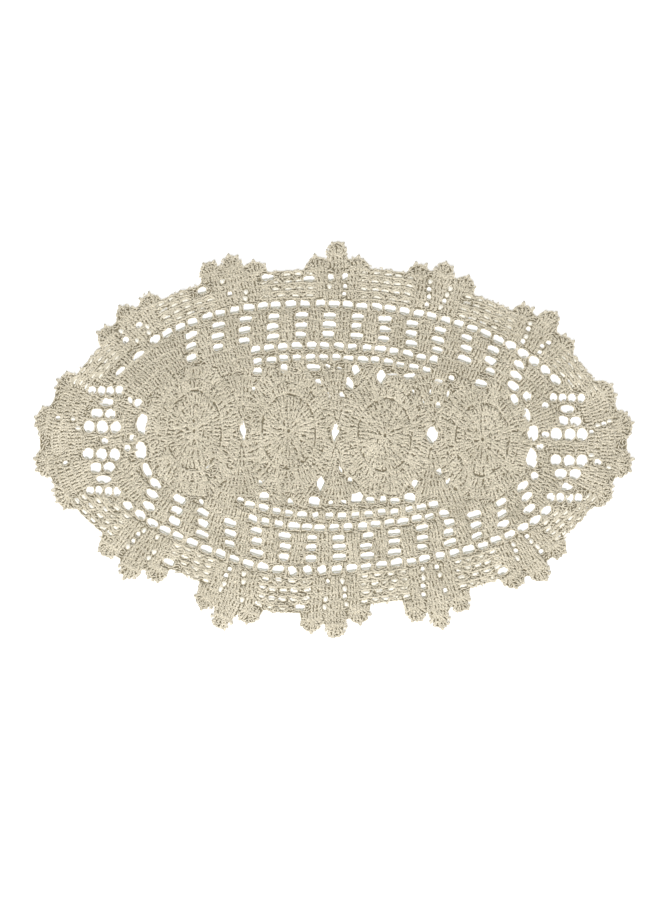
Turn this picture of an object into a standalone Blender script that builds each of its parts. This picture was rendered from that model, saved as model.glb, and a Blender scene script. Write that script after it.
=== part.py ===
"""Oval crochet lace doily, about 455 mm long, lying flat, as one slab with its gaps cut through.

The doily is charted in millimetres about its centre, with X along its length and Y to
its far side. A place is a length along the seam, the oval that joins the mesh to the
ladder, counted from the right end round the far side. A line counts outward from round
to round, and the seam is line 2. Both together give any point of the rounds.
"""

import math
import random

import bpy

MM = 0.001
THICKNESS = 2.4 * MM
CHART_SEED = 7

SEAM_HALF_LENGTH = 153.1
SEAM_HALF_WIDTH = 73.2
SEAM_STEPS = 720
BORDER_LINE = 6
EDGE_LINE = 10

# How far each line lies out from the seam
ROUND_LINES = (
    # name, at the long sides, at the right end, at the left end
    ("arch tops", -17.7, -14.0, -14.0),
    ("mesh middle", -8.6, -7.0, -7.0),
    ("seam", 0.0, 0.0, 2.0),
    ("ladder first", 7.4, 8.0, 11.0),
    ("ladder second", 14.8, 17.0, 21.0),
    ("ladder top", 22.4, 27.2, 31.0),
    ("eyelet top", 31.9, 37.0, 41.0),
    ("border first", 37.4, 43.5, 48.5),
    ("border second", 43.1, 50.0, 56.0),
    ("border third", 48.8, 56.5, 63.5),
    ("edge", 54.5, 62.5, 71.0),
)

# Groups of petals round the edge. The edge between two groups is drawn in or let out.
PETAL_GROUPS = (
    # name, place, petals, spread, first reach, middle reach, last reach, half width,
    # edge let out after it
    ("far side", 186.5, 3, 26.0, 8.0, 20.0, 9.5, 8.8, -0.8),
    ("far side, left", 252.5, 3, 27.0, 9.0, 17.0, 15.5, 9.0, -2.4),
    ("far left corner", 317.5, 3, 26.0, 9.2, 13.5, 10.0, 9.0, -11.0),
    ("left end", 370.0, 4, 32.0, 8.5, 14.5, 8.5, 11.8, -1.5),
    ("near left corner", 424.5, 3, 26.0, 13.5, 20.0, 12.5, 9.4, -3.0),
    ("near side, left", 483.5, 3, 27.0, 18.0, 26.5, 14.0, 9.2, 4.5),
    ("near side", 551.0, 3, 30.0, 15.5, 21.5, 13.0, 9.2, 1.5),
    ("near side, right", 615.5, 3, 27.5, 16.5, 24.5, 15.0, 9.2, 1.0),
    ("near right corner", 676.0, 3, 27.0, 11.5, 17.5, 10.0, 9.4, -5.5),
    ("right end", 733.3, 4, 31.0, 8.0, 15.0, 9.0, 11.8, -6.0),
    ("far right corner", 786.8, 3, 26.0, 7.5, 15.5, 8.5, 9.2, -3.0),
    ("far side, right", 852.8, 3, 29.0, 10.5, 15.0, 9.0, 8.8, 2.0),
)
PETAL_FULLNESS = 2.1
NOTCH_SHARE = 0.68
PICOT_PITCH = 4.1
PICOT_REACH = 1.8
EDGE_STEP = 1.9

# Rows of even gaps between two lines of the rounds
GAP_ROWS = (
    # name, line, first place, last place, gaps, width, height
    ("far mesh, inner row", 0.5, 114.0, 248.0, 14, 7.0, 5.0),
    ("far mesh, outer row", 1.5, 110.0, 248.0, 14, 7.6, 5.6),
    ("near mesh, inner row", 0.5, 481.0, 629.0, 15, 6.8, 5.0),
    ("near mesh, outer row", 1.5, 485.0, 634.0, 15, 7.4, 5.4),
    ("far eyelets", 5.5, 31.0, 312.0, 31, 8.4, 5.8),
    ("far left eyelets", 5.2, 325.0, 338.0, 2, 9.0, 4.4),
    ("near eyelets", 5.5, 405.0, 698.0, 31, 8.4, 5.6),
)

# Columns of three gaps, one above the other, between the solid blocks of the ladder
LADDER_STRETCHES = (
    # name, first place, last place, columns
    ("far side", 50.0, 293.0, 13),
    ("near side", 411.0, 695.0, 15),
)
LADDER_LEAN = 0.024
LADDER_ROWS = (2.5, 3.5, 4.5)
LADDER_GAP_WIDTH = 9.4
LADDER_GAP_HEIGHT = 5.2

# Gaps of the net past the last medallions, on both sides of the end's middle line
END_NET_ROWS = (
    # name, off the middle line, first from the centre, last from the centre, gaps, width, height
    ("first row", 10.0, 165.8, 185.8, 3, 7.4, 9.4),
    ("second row", 20.2, 170.0, 180.5, 2, 8.0, 7.6),
    ("third row", 29.4, 173.5, 173.5, 1, 10.0, 5.4),
    ("fourth row", 38.0, 163.0, 184.0, 4, 5.2, 6.6),
)
NET_ENDS = (
    # name, direction, middle line, let out
    ("right", 1.0, -3.5, 0.0),
    ("left", -1.0, -7.7, 3.4),
)

# Gaps where the medallions meet each other and the mesh
JOIN_GAPS = (
    # name, x, y, width, height, slant in degrees
    ("slit, left", -72.0, 1.9, 4.6, 17.0, 4.0),
    ("slit, middle", -2.2, 3.0, 5.6, 18.0, -4.0),
    ("slit, right", 71.5, 3.4, 7.4, 16.5, 2.0),
    ("right end, far", 148.0, 7.0, 7.8, 13.2, 0.0),
    ("right end, near", 147.0, -12.2, 7.6, 13.4, 4.0),
    ("right end, middle", 153.4, -3.5, 4.6, 4.6, 0.0),
    ("right net, far", 157.6, 5.6, 4.6, 4.8, 0.0),
    ("right net, corner", 142.6, 34.6, 5.6, 7.4, 0.0),
    ("right net, inner", 156.4, 28.4, 4.6, 4.6, 0.0),
    ("left end, far", -148.8, 5.6, 8.4, 13.6, 0.0),
    ("left end, near", -149.2, -14.6, 8.4, 13.6, 0.0),
    ("left end, middle", -155.4, -4.8, 4.8, 4.8, 0.0),
    ("left net, near", -160.0, -13.2, 5.6, 4.2, 10.0),
    ("left net, middle", -176.6, -7.8, 4.4, 4.6, 0.0),
    ("far arch 1", -61.6, 46.6, 7.4, 5.4, 0.0),
    ("far arch 2", -41.4, 48.8, 4.6, 7.4, 0.0),
    ("far arch 3", -19.8, 51.8, 9.4, 4.8, 0.0),
    ("far arch 4", 12.2, 50.8, 7.0, 6.4, 0.0),
    ("far arch 5", 31.4, 46.8, 5.0, 10.0, 0.0),
    ("far arch 6", 52.6, 47.0, 9.6, 5.4, 0.0),
    ("far arch 7", 75.4, 44.2, 7.4, 4.8, -15.0),
    ("far arch 8", 106.6, 43.8, 9.0, 5.0, -14.0),
    ("far corner, inner", 133.4, 32.4, 4.4, 10.0, 24.0),
    ("far corner, outer", 143.2, 20.4, 4.4, 11.6, 14.0),
    ("far wedge 1", -15.6, 40.6, 4.2, 6.4, 10.0),
    ("far wedge 2", 8.0, 39.8, 5.0, 9.0, 20.0),
    ("far wedge 3", 75.4, 26.4, 4.4, 4.6, 0.0),
    ("near wedge 1", -57.4, -36.0, 4.6, 6.0, 0.0),
    ("near wedge 2", -11.8, -36.4, 4.8, 11.8, 0.0),
    ("near wedge 3", 59.2, -34.2, 4.8, 9.6, 0.0),
    ("near wedge 4", 77.6, -24.6, 4.2, 7.0, 24.0),
    ("near wedge 5", 84.6, -32.2, 4.2, 6.2, 10.0),
    ("near arch 1", -54.4, -46.4, 7.0, 6.2, 0.0),
    ("near arch 2", -34.0, -50.0, 4.6, 5.8, 0.0),
    ("near arch 3", -16.6, -49.2, 7.0, 8.4, 0.0),
    ("near arch 4", 15.4, -46.4, 8.4, 8.2, 0.0),
    ("near arch 5", 26.2, -48.4, 7.0, 4.4, 0.0),
    ("near arch 6", 35.4, -47.4, 5.0, 6.4, 0.0),
    ("near arch 7", 44.4, -48.2, 6.8, 4.2, 0.0),
    ("near arch 8", 55.0, -46.4, 8.0, 7.0, 0.0),
    ("left corner, far", -151.6, 21.0, 6.0, 6.6, -40.0),
    ("left corner, near", -144.0, -29.4, 4.4, 12.0, 28.0),
    ("right corner, near", 150.0, -25.6, 5.0, 6.4, 24.0),
)

# Gaps in the border, beside and under the groups of petals
BORDER_GAPS = (
    # name, place, line, width, height
    ("far side, right of the middle", 181.5, 8.8, 4.4, 5.4),
    ("far side, left of the middle", 191.0, 8.8, 4.4, 6.0),
    ("far side, loop", 205.0, 8.6, 7.8, 4.4),
    ("far side left, first shoulder", 231.5, 9.1, 10.4, 4.6),
    ("far side left, second shoulder", 274.0, 9.0, 7.0, 5.0),
    ("far left corner, first", 315.0, 8.5, 5.0, 4.6),
    ("far left corner, second", 325.0, 7.9, 4.6, 4.4),
    ("near left corner, shoulder", 442.0, 9.0, 10.0, 4.6),
    ("near side, shoulder", 528.0, 9.3, 7.0, 4.4),
    ("near right corner, shoulder", 659.0, 9.2, 8.0, 4.4),
    ("right end, near", 727.0, 7.8, 4.4, 5.6),
)
GAP_POINTS = 6
GAP_PLACE_JITTER = 0.35
GAP_SIZE_JITTER = 0.07

# How the cloth lies: pulled a little at these places, then turned a little
TUGS = (
    # name, x, y, reach, pull in x, pull in y
    ("far left shoulder", -95.0, 80.0, 65.0, -1.5, 3.2),
    ("near left foot", -50.0, -120.0, 45.0, 0.0, -5.5),
    ("near right foot", 60.0, -100.0, 60.0, 0.0, 3.0),
)
LAY_TURN = math.radians(-1.5)

ECRU = (0.60, 0.55, 0.42, 1.0)
COTTON_ROUGHNESS = 0.9


def clear_scene():
    for old in list(bpy.data.objects):
        bpy.data.objects.remove(old, do_unlink=True)


def seam_lengths():
    """Lengths along the seam at even angles, from the right end round the far side."""
    lengths = [0.0]
    turn = 2 * math.pi / SEAM_STEPS
    for step in range(SEAM_STEPS):
        before, after = step * turn, (step + 1) * turn
        dx = SEAM_HALF_LENGTH * (math.cos(after) - math.cos(before))
        dy = SEAM_HALF_WIDTH * (math.sin(after) - math.sin(before))
        lengths.append(lengths[-1] + math.hypot(dx, dy))
    return lengths


LENGTHS = seam_lengths()
SEAM_LENGTH = LENGTHS[-1]


def seam_angle(place):
    """The oval's angle at a place, found between the two nearest of LENGTHS."""
    place = place % SEAM_LENGTH
    low, high = 0, SEAM_STEPS
    while high - low > 1:
        middle = (low + high) // 2
        if LENGTHS[middle] <= place:
            low = middle
        else:
            high = middle
    part = (place - LENGTHS[low]) / (LENGTHS[high] - LENGTHS[low])
    return 2 * math.pi * (low + part) / SEAM_STEPS


def edge_let_out(place):
    """How far the edge is let out at a place, eased from one dip between groups to the next."""
    dips = []
    for index, group in enumerate(PETAL_GROUPS):
        following = PETAL_GROUPS[(index + 1) % len(PETAL_GROUPS)]
        gap = (following[1] - group[1]) % SEAM_LENGTH
        dips.append(((group[1] + gap / 2) % SEAM_LENGTH, group[8]))
    dips.sort()
    after = next((i for i, dip in enumerate(dips) if dip[0] > place % SEAM_LENGTH), 0)
    start, end = dips[after - 1], dips[after]
    span = (end[0] - start[0]) % SEAM_LENGTH
    part = ((place - start[0]) % SEAM_LENGTH) / span
    ease = (1 - math.cos(math.pi * part)) / 2
    return start[1] + (end[1] - start[1]) * ease


def chart_point(place, line):
    """The chart point at a place, on a line of ROUND_LINES or between two."""
    angle = seam_angle(place)
    nx = SEAM_HALF_WIDTH * math.cos(angle)
    ny = SEAM_HALF_LENGTH * math.sin(angle)
    size = math.hypot(nx, ny)
    nx, ny = nx / size, ny / size
    low = max(0, min(len(ROUND_LINES) - 2, math.floor(line)))
    part = line - low
    end_column = 2 if nx > 0 else 3
    inner, outer = ROUND_LINES[low], ROUND_LINES[low + 1]
    sides = inner[1] + (outer[1] - inner[1]) * part
    ends = inner[end_column] + (outer[end_column] - inner[end_column]) * part
    out = sides * ny * ny + ends * nx * nx
    if line > BORDER_LINE:
        out += edge_let_out(place) * (line - BORDER_LINE) / (EDGE_LINE - BORDER_LINE)
    x = SEAM_HALF_LENGTH * math.cos(angle) + nx * out
    y = SEAM_HALF_WIDTH * math.sin(angle) + ny * out
    return x, y


def direction_along(place, line):
    """The unit vector along a line at a place."""
    x0, y0 = chart_point(place - 0.5, line)
    x1, y1 = chart_point(place + 0.5, line)
    size = math.hypot(x1 - x0, y1 - y0)
    return (x1 - x0) / size, (y1 - y0) / size


def even_places(line, first, last, count, steps=400):
    """Places at even lengths along a line, both ends included."""
    run = (last - first) / steps
    points = [chart_point(first + run * step, line) for step in range(steps + 1)]
    lengths = [0.0]
    for start, end in zip(points, points[1:]):
        lengths.append(lengths[-1] + math.dist(start, end))
    places = []
    step = 0
    for index in range(count):
        wanted = lengths[-1] * index / max(1, count - 1)
        while step < steps - 1 and lengths[step + 1] < wanted:
            step += 1
        part = (wanted - lengths[step]) / (lengths[step + 1] - lengths[step])
        places.append(first + run * (step + part))
    return places


def laid(x, y):
    """A chart point as the cloth lies."""
    for _, tug_x, tug_y, reach, pull_x, pull_y in TUGS:
        away = (x - tug_x) ** 2 + (y - tug_y) ** 2
        pull = math.exp(-away / (reach * reach))
        x, y = x + pull_x * pull, y + pull_y * pull
    cosine, sine = math.cos(LAY_TURN), math.sin(LAY_TURN)
    return x * cosine - y * sine, x * sine + y * cosine


def gap_outline(x, y, along, width, height, chance):
    """A rounded gap about a chart point, with its width along the given direction."""
    x += chance.uniform(-GAP_PLACE_JITTER, GAP_PLACE_JITTER)
    y += chance.uniform(-GAP_PLACE_JITTER, GAP_PLACE_JITTER)
    width *= 1 + chance.uniform(-GAP_SIZE_JITTER, GAP_SIZE_JITTER)
    height *= 1 + chance.uniform(-GAP_SIZE_JITTER, GAP_SIZE_JITTER)
    half_width, half_height = width / 2, height / 2
    outline = []
    for index in range(GAP_POINTS):
        angle = 2 * math.pi * index / GAP_POINTS
        across = half_width * math.cos(angle)
        up = half_height * math.sin(angle) / math.sin(math.pi / 3)
        point_x = x + along[0] * across - along[1] * up
        point_y = y + along[1] * across + along[0] * up
        outline.append(laid(point_x, point_y))
    return outline


def row_gaps(chance):
    """The even rows of gaps in the mesh and the eyelet round."""
    gaps = []
    for _, line, first, last, count, width, height in GAP_ROWS:
        for place in even_places(line, first, last, count):
            x, y = chart_point(place, line)
            along = direction_along(place, line)
            gaps.append(gap_outline(x, y, along, width, height, chance))
    return gaps


def ladder_gaps(chance):
    """The columns of gaps between the ladder's blocks."""
    gaps = []
    for _, first, last, columns in LADDER_STRETCHES:
        for column in range(columns):
            foot = first + (last - first) * column / (columns - 1)
            lean = LADDER_LEAN * ((first + last) / 2 - foot)
            for line in LADDER_ROWS:
                place = foot + lean * (line - LADDER_ROWS[1])
                x, y = chart_point(place, line)
                along = direction_along(place, line)
                gap = gap_outline(x, y, along, LADDER_GAP_WIDTH, LADDER_GAP_HEIGHT, chance)
                gaps.append(gap)
    return gaps


def end_net_gaps(chance):
    """The net at both ends, mirrored about each end's middle line."""
    gaps = []
    for _, direction, middle, let_out in NET_ENDS:
        for _, off, first, last, count, width, height in END_NET_ROWS:
            for index in range(count):
                from_centre = first + (last - first) * index / max(1, count - 1)
                x = direction * (from_centre + let_out)
                for side in (1, -1):
                    y = middle + side * off
                    gaps.append(gap_outline(x, y, (1.0, 0.0), width, height, chance))
    return gaps


def join_gaps(chance):
    """The slits between the medallions and the gaps round their rims."""
    gaps = []
    for _, x, y, width, height, slant in JOIN_GAPS:
        turn = math.radians(slant)
        along = (math.cos(turn), math.sin(turn))
        gaps.append(gap_outline(x, y, along, width, height, chance))
    return gaps


def border_gaps(chance):
    """The larger gaps beside the groups of petals."""
    gaps = []
    for _, place, line, width, height in BORDER_GAPS:
        x, y = chart_point(place, line)
        along = direction_along(place, line)
        gaps.append(gap_outline(x, y, along, width, height, chance))
    return gaps


def petals():
    """Each petal's place along the seam, its reach, its half width and its group's number."""
    found = []
    for group, row in enumerate(PETAL_GROUPS):
        _, place, count, spread, first, middle, last, half_width, _ = row
        reaches = [first] + [middle] * (count - 2) + [last]
        for index, reach in enumerate(reaches):
            offset = spread * (index / (count - 1) - 0.5)
            found.append((place + offset, reach, half_width, group))
    return found


def petal_reach(away, reach, half_width):
    """How far a petal stands out at a distance along the edge from its middle."""
    part = abs(away) / half_width
    if part >= 1:
        return 0.0
    lobe = reach * (1 - part**PETAL_FULLNESS) ** (1 / PETAL_FULLNESS)
    wave = math.cos(2 * math.pi * away / PICOT_PITCH)
    return lobe + PICOT_REACH * wave * (1 - part**4) / 2


def edge_outline():
    """The outer edge with its petals, from the right end round the far side."""
    steps = 4 * SEAM_STEPS
    places = [SEAM_LENGTH * step / steps for step in range(steps)]
    points = [chart_point(place, EDGE_LINE) for place in places]
    lengths = [0.0]
    for start, end in zip(points, points[1:] + points[:1]):
        lengths.append(lengths[-1] + math.dist(start, end))
    around = lengths[-1]
    lobes = []
    for place, *shape in petals():
        lobes.append((lengths[round(place / SEAM_LENGTH * steps) % steps], *shape))
    notches = []
    for first, second in zip(lobes, lobes[1:]):
        if first[3] == second[3]:
            span = (second[0] - first[0]) % around
            notches.append((first[0], span, NOTCH_SHARE * min(first[1], second[1])))
    outline = []
    wanted = 0.0
    for index, (start, end) in enumerate(zip(points, points[1:] + points[:1])):
        if lengths[index] < wanted:
            continue
        wanted += EDGE_STEP
        reach = 0.0
        for middle, lobe_reach, half_width, _ in lobes:
            away = (lengths[index] - middle + around / 2) % around - around / 2
            reach = max(reach, petal_reach(away, lobe_reach, half_width))
        for first, span, notch_reach in notches:
            if (lengths[index] - first) % around < span:
                reach = max(reach, notch_reach)
        run = math.dist(start, end)
        out_x, out_y = (end[1] - start[1]) / run, (start[0] - end[0]) / run
        outline.append(laid(start[0] + out_x * reach, start[1] + out_y * reach))
    return outline


def doily_loops():
    """The outer edge, then every gap, moved so that the box's middle is the origin."""
    chance = random.Random(CHART_SEED)
    edge = edge_outline()
    gaps = row_gaps(chance) + ladder_gaps(chance) + end_net_gaps(chance)
    gaps += join_gaps(chance) + border_gaps(chance)
    middle_x = (max(x for x, _ in edge) + min(x for x, _ in edge)) / 2
    middle_y = (max(y for _, y in edge) + min(y for _, y in edge)) / 2
    loops = []
    for loop in [edge[::-1]] + gaps:
        loops.append([((x - middle_x) * MM, (y - middle_y) * MM) for x, y in loop])
    return loops


def cotton():
    material = bpy.data.materials.new("ecru cotton")
    material.use_nodes = True
    surface = material.node_tree.nodes["Principled BSDF"]
    surface.inputs["Base Color"].default_value = ECRU
    surface.inputs["Roughness"].default_value = COTTON_ROUGHNESS
    surface.inputs["Metallic"].default_value = 0.0
    material.diffuse_color = ECRU
    return material


def build_doily():
    """A filled flat curve, extruded to the yarn's thickness, resting on Z = 0."""
    curve = bpy.data.curves.new("doily", "CURVE")
    curve.dimensions = "2D"
    curve.fill_mode = "BOTH"
    curve.extrude = THICKNESS / 2
    for loop in doily_loops():
        spline = curve.splines.new("POLY")
        spline.points.add(len(loop) - 1)
        for point, (x, y) in zip(spline.points, loop):
            point.co = (x, y, 0.0, 1.0)
        spline.use_cyclic_u = True
    curve.materials.append(cotton())
    doily = bpy.data.objects.new("doily", curve)
    doily.location = (0.0, 0.0, THICKNESS / 2)
    bpy.context.scene.collection.objects.link(doily)
    return doily


clear_scene()
build_doily()
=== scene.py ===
"""Oval crochet lace doily, worked stitch by stitch in ecru cotton, lying flat on a pale floor.

The chart is part.py's, in millimetres. A place is a length along the seam, the oval that joins
the mesh to the ladder, counted from the right end round the far side. A line counts outward
from round to round, and the seam is line 2. A row of stitches stands between two lines. The
outer edge and the gaps are read from the CAD solid, so the yarn goes round what it leaves open.
"""

import math

import bpy
import numpy as np
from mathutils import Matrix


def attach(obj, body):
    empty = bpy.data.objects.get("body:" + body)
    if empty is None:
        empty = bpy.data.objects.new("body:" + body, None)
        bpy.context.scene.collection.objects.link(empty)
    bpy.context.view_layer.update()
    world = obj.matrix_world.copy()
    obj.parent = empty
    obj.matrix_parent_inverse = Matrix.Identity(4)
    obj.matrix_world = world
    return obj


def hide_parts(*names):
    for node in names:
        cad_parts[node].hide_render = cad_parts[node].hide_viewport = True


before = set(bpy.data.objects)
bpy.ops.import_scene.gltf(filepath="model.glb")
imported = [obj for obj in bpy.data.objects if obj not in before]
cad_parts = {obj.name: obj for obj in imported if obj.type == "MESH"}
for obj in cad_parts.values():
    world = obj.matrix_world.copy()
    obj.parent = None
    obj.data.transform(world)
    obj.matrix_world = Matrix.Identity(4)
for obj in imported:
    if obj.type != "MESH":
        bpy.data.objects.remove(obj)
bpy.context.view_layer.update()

MM = 0.001
chance = np.random.default_rng(11)

# The oval of the seam, and how far each line lies out from it
SEAM_HALF_LENGTH = 153.1
SEAM_HALF_WIDTH = 73.2
SEAM_STEPS = 720
BORDER_LINE = 6
EDGE_LINE = 10
ROUND_LINES = (
    # name, at the long sides, at the right end, at the left end
    ("arch tops", -17.7, -14.0, -14.0),
    ("mesh middle", -8.6, -7.0, -7.0),
    ("seam", 0.0, 0.0, 2.0),
    ("ladder first", 7.4, 8.0, 11.0),
    ("ladder second", 14.8, 17.0, 21.0),
    ("ladder top", 22.4, 27.2, 31.0),
    ("eyelet top", 31.9, 37.0, 41.0),
    ("border first", 37.4, 43.5, 48.5),
    ("border second", 43.1, 50.0, 56.0),
    ("border third", 48.8, 56.5, 63.5),
    ("edge", 54.5, 62.5, 71.0),
)

# Groups of petals round the edge. The edge between two groups is drawn in or let out.
PETAL_GROUPS = (
    # name, place, petals, spread, first reach, middle reach, last reach, half width,
    # edge let out after it
    ("far side", 186.5, 3, 26.0, 8.0, 20.0, 9.5, 8.8, -0.8),
    ("far side, left", 252.5, 3, 27.0, 9.0, 17.0, 15.5, 9.0, -2.4),
    ("far left corner", 317.5, 3, 26.0, 9.2, 13.5, 10.0, 9.0, -11.0),
    ("left end", 370.0, 4, 32.0, 8.5, 14.5, 8.5, 11.8, -1.5),
    ("near left corner", 424.5, 3, 26.0, 13.5, 20.0, 12.5, 9.4, -3.0),
    ("near side, left", 483.5, 3, 27.0, 18.0, 26.5, 14.0, 9.2, 4.5),
    ("near side", 551.0, 3, 30.0, 15.5, 21.5, 13.0, 9.2, 1.5),
    ("near side, right", 615.5, 3, 27.5, 16.5, 24.5, 15.0, 9.2, 1.0),
    ("near right corner", 676.0, 3, 27.0, 11.5, 17.5, 10.0, 9.4, -5.5),
    ("right end", 733.3, 4, 31.0, 8.0, 15.0, 9.0, 11.8, -6.0),
    ("far right corner", 786.8, 3, 26.0, 7.5, 15.5, 8.5, 9.2, -3.0),
    ("far side, right", 852.8, 3, 29.0, 10.5, 15.0, 9.0, 8.8, 2.0),
)
PETAL_FULLNESS = 2.1

# How the cloth lies: pulled a little at these places, then turned a little
TUGS = (
    # name, x, y, reach, pull in x, pull in y
    ("far left shoulder", -95.0, 80.0, 65.0, -1.5, 3.2),
    ("near left foot", -50.0, -120.0, 45.0, 0.0, -5.5),
    ("near right foot", 60.0, -100.0, 60.0, 0.0, 3.0),
)
LAY_TURN = math.radians(-1.5)
CHART_CENTRE = (-3.424, -1.988)

# The four oval medallions and the rings of stitches in each
MEDALLIONS = (
    # name, x, y, half height against the others'
    ("medallion_1", -108.8, 1.0, 1.06),
    ("medallion_2", -37.3, 2.8, 1.0),
    ("medallion_3", 35.7, 2.4, 1.0),
    ("medallion_4", 109.8, 1.0, 1.0),
)
RING_HALF_WIDTHS = (1.8, 8.0, 14.6, 21.0, 28.4, 35.6)
RING_HALF_HEIGHTS = (2.2, 10.6, 19.6, 28.4, 37.4, 45.6)
RIDGE_RING = 3
RIM_RING = 5
SHELLS = 10
RIDGE_ARCS = 8
SLIT_SHARE = 0.6

# Fans of stitches where two medallions meet, opening to the far and the near side
FANS = (
    # name, x, y of the fan's foot, the way it opens in degrees
    ("fan_far_left", -72.8, 12.5, 90.0),
    ("fan_far_middle", -0.6, 13.0, 90.0),
    ("fan_far_right", 72.2, 13.0, 90.0),
    ("fan_near_left", -72.8, -9.0, 270.0),
    ("fan_near_middle", -0.6, -8.0, 270.0),
    ("fan_near_right", 72.2, -7.5, 270.0),
)
FAN_HALF_OPENING = math.radians(80)
FAN_FOOT = 1.2
FAN_RINGS = 7

# Yarn: half thickness of the strands, all in millimetres
STRAND = 0.56
BORDER_STRAND = 0.64
RIM_STRAND = 0.46
SMALL_RIM_STRAND = 0.42
SHADED_STRAND = 0.65
SMALL_SHADED_STRAND = 0.4
PALE_STRAND = 1.5
PALE_FLAT = 0.5
EDGE_STRAND = 0.4
PICOT_STRAND = 0.8
TUBE_SIDES = 4

# Height of the strands' middles above the floor
POST_HEIGHT = 1.1
WRAP_HEIGHT = 1.35
LINK_HEIGHT = 1.15
STRAY_HEIGHT = 1.4
EYELET_HEIGHT = 1.3
RIDGE_HEIGHT = 1.0
BORDER_HEIGHT = 1.2
RIM_HEIGHT = 0.8
PALE_HEIGHT = 0.56
EDGE_HEIGHT = 1.0
FILL_HEIGHT = 1.0
GROUND_HEIGHT = 0.75

# Stitches: two twisted strands up each post, wraps across it and a V on top
STITCH_PITCH = 2.45
ROW_HEIGHT = 7.2
POST_STEPS = 6
POST_TWIST = 1.0
POST_HALF_WIDTH = 0.66
POST_DEPTH = 0.3
FULL_REACH = 0.96
SLIT_REACH = 0.83
LINKED_FROM = 0.9
LOOSE = 0.3
MEDALLION_LOOSE = 0.6
WRAPS = (0.28, 0.68)
MEDALLION_WRAPS = (0.2, 0.5, 0.8)
STRAY = 0.28
STRAYS = 690
STRAY_LENGTH = 2.2
FILL_LENGTH = 2.6
FILL_SPACING = 1.5

# Cords of two twisted strands, and the rims round the gaps
CORD_PITCH = 3.0
CORD_STEP = 0.8
CORD_RADIUS = 0.4
BORDER_CORD_WIDTH = 0.5
RIM_CORD_WIDTH = 0.45
EDGE_CORD_WIDTH = 0.3
RIM_STEP = 1.5
RIM_CORD_STEP = 1.3
RIM_GROW = 0.75
RIM_UNEVEN = 0.33
SMALL_RIM_STEP = 1.2
SMALL_RIM_GROW = 0.4
EDGE_INSET = 1.0
GROUND_INSET = 1.1
GROUND_THICKNESS = 0.2
GROUND_GAP_GROW = 0.3
PICOT_TURN = 0.35
PICOT_WIDTH = 0.85
PICOT_LENGTH = 2.4

# How far round a strand counts as covered, and how far a slit or eyelet is kept bare
BARE_REACH = 1.0
RIDGE_COVER = 0.8
BORDER_COVER = 0.45
LENS_COVER = 0.8
RIM_COVER = 0.9
SMALL_RIM_COVER = 0.7
SLIT_BARE = 0.7
EYELET_BARE = 1.5

# The grid that the clearances are kept on
GRID_STEP = 0.25
GRID_EDGE = 240.0
FAR_AWAY = 50.0

# Openings, and how far the yarn pulls their corners out of true, against their size
GAP_MARGIN = 0.5
GAP_UNEVEN = 0.14
HOLE_UNEVEN = 0.12
SMALL_GAP_UNEVEN = 0.2
TALL_GAP = 1.6
ROUND_FROM = 128.0
SHADED_FROM = 2.2

# Small holes under the groups of petals, and the openings inside the border's chain loops
HOLE_LINES = (6.6, 7.6, 8.6, 9.6)
HOLE_COLUMN_FOOT = 4.2
HOLE_COLUMN_LEAN = 0.75
HOLE_SIZE = (3.2, 4.2)
# Share of the holes backed by a flat strand coloured with painted bounce light
HOLES_BACKED = 0.65
LOOP_LENGTH = 9.5
LOOP_OPENING = (5.4, 2.2)
BORDER_ROW = 5.7
DRAWN_CLOSED = 0.22

# Small gaps that the CAD solid leaves out, between the medallions, the fans and the mesh
SMALL_GAPS = (
    # x, y, width, height, turned left in degrees
    # far fan middle
    (-3.3, 33.4, 2.4, 7.2, 18.0),
    (6.5, 34.0, 3.8, 4.9, 20.0),
    # far fan right
    (60.6, 36.6, 2.0, 3.4, 10.0),
    (68.5, 28.1, 1.8, 6.1, 20.0),
    (73.9, 35.0, 2.0, 6.1, 5.0),
    (87.0, 34.0, 2.6, 6.5, -5.0),
    (89.5, 46.5, 3.0, 6.1, 40.0),
    # far mesh
    (-4.2, 55.6, 4.2, 3.3, -35.0),
    (4.8, 54.2, 3.8, 2.6, -20.0),
    (44.8, 49.8, 7.6, 1.7, 0.0),
    # far fan left
    (-60.6, 38.6, 2.7, 3.5, 30.0),
    # left shoulder
    (-154.5, 29.7, 3.0, 5.7, 20.0),
    # left medallion
    (-94.8, -20.7, 6.8, 2.0, 35.0),
    # near fan middle
    (5.5, -23.5, 2.0, 5.7, 22.0),
    (12.7, -30.7, 2.7, 4.1, 15.0),
    # near mesh
    (-2.1, -48.0, 3.3, 6.1, -35.0),
    (7.4, -47.1, 4.9, 3.5, -15.0),
    (-70.5, -45.6, 5.3, 3.5, -20.0),
    (-100.2, -47.1, 4.9, 3.3, -40.0),
)

PIECES = {}


def seam_table():
    """Lengths along the seam at even angles, from the right end round the far side."""
    angles = np.linspace(0, 2 * math.pi, SEAM_STEPS + 1)
    x, y = SEAM_HALF_LENGTH * np.cos(angles), SEAM_HALF_WIDTH * np.sin(angles)
    steps = np.hypot(np.diff(x), np.diff(y))
    return angles, np.concatenate([[0.0], np.cumsum(steps)])


SEAM_ANGLES, SEAM_LENGTHS = seam_table()
SEAM_LENGTH = SEAM_LENGTHS[-1]
LINE_NUMBERS = np.arange(-1, len(ROUND_LINES) + 1)


def line_column(column):
    """One column of ROUND_LINES, carried on past its first and last line."""
    inner = [row[column] for row in ROUND_LINES]
    return [2 * inner[0] - inner[1]] + inner + [2 * inner[-1] - inner[-2]]


AT_SIDES, AT_RIGHT, AT_LEFT = (line_column(column) for column in (1, 2, 3))


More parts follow.
